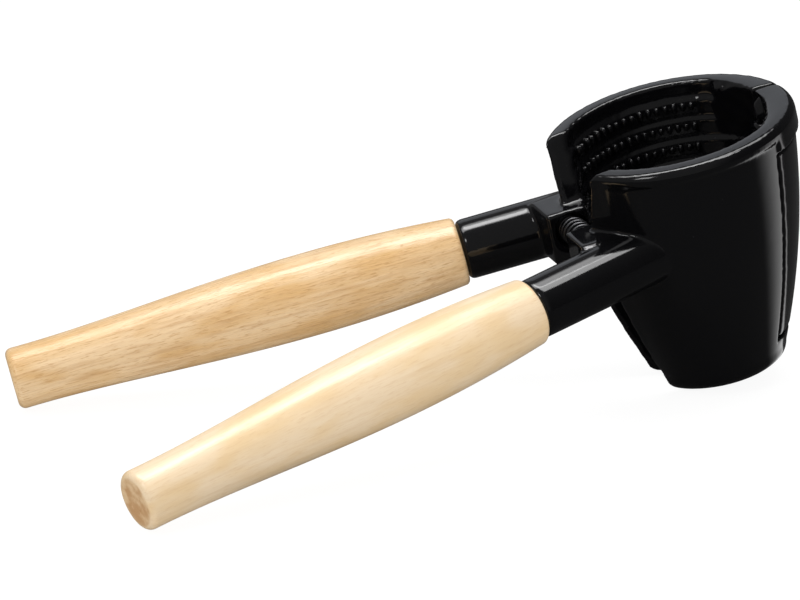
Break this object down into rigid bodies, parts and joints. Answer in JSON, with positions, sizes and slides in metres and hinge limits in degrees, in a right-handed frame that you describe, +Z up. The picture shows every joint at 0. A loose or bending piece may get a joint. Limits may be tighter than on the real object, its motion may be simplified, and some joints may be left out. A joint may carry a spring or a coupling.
{
  "type": "lever nutcracker press",
  "caption": "Cup-shaped nutcracker in two hinged castings with ledges inside, each with a round stem and a turned wooden handle, held open by a coil spring.",
  "frame": {"origin": "middle of the resting press's bounding box, on the surface that it stands on", "axes": "+X from the handle ends towards the hinge, +Y towards the far jaw, +Z up from the table"},
  "size_m": [0.1942, 0.1142, 0.0737],
  "materials": {
    "black_enamel": "glossy black enamel on cast metal",
    "lacquered_wood": "clear lacquer on pale wood",
    "spring_steel": "dark oiled spring wire",
    "pin_steel": "plain steel"
  },
  "bodies": {
    "far_side": {"far_jaw": "black_enamel", "far_handle": "lacquered_wood", "far_stud": "pin_steel", "hinge_pin": "pin_steel", "return_spring": "spring_steel"},
    "near_side": {"near_jaw": "black_enamel", "near_handle": "lacquered_wood", "near_stud": "pin_steel"}
  },
  "joints": [
    {"name": "squeeze", "type": "hinge", "parent": "far_side", "child": "near_side", "pos_m": [0.09158, 0, 0.07325], "axis": [-0.0331, 0, -0.9995], "range_deg": [0, 12.4], "stiffness_Nm_per_rad": 7.1, "springref_deg": -6.7, "deforming": ["return_spring"]}
  ]
}
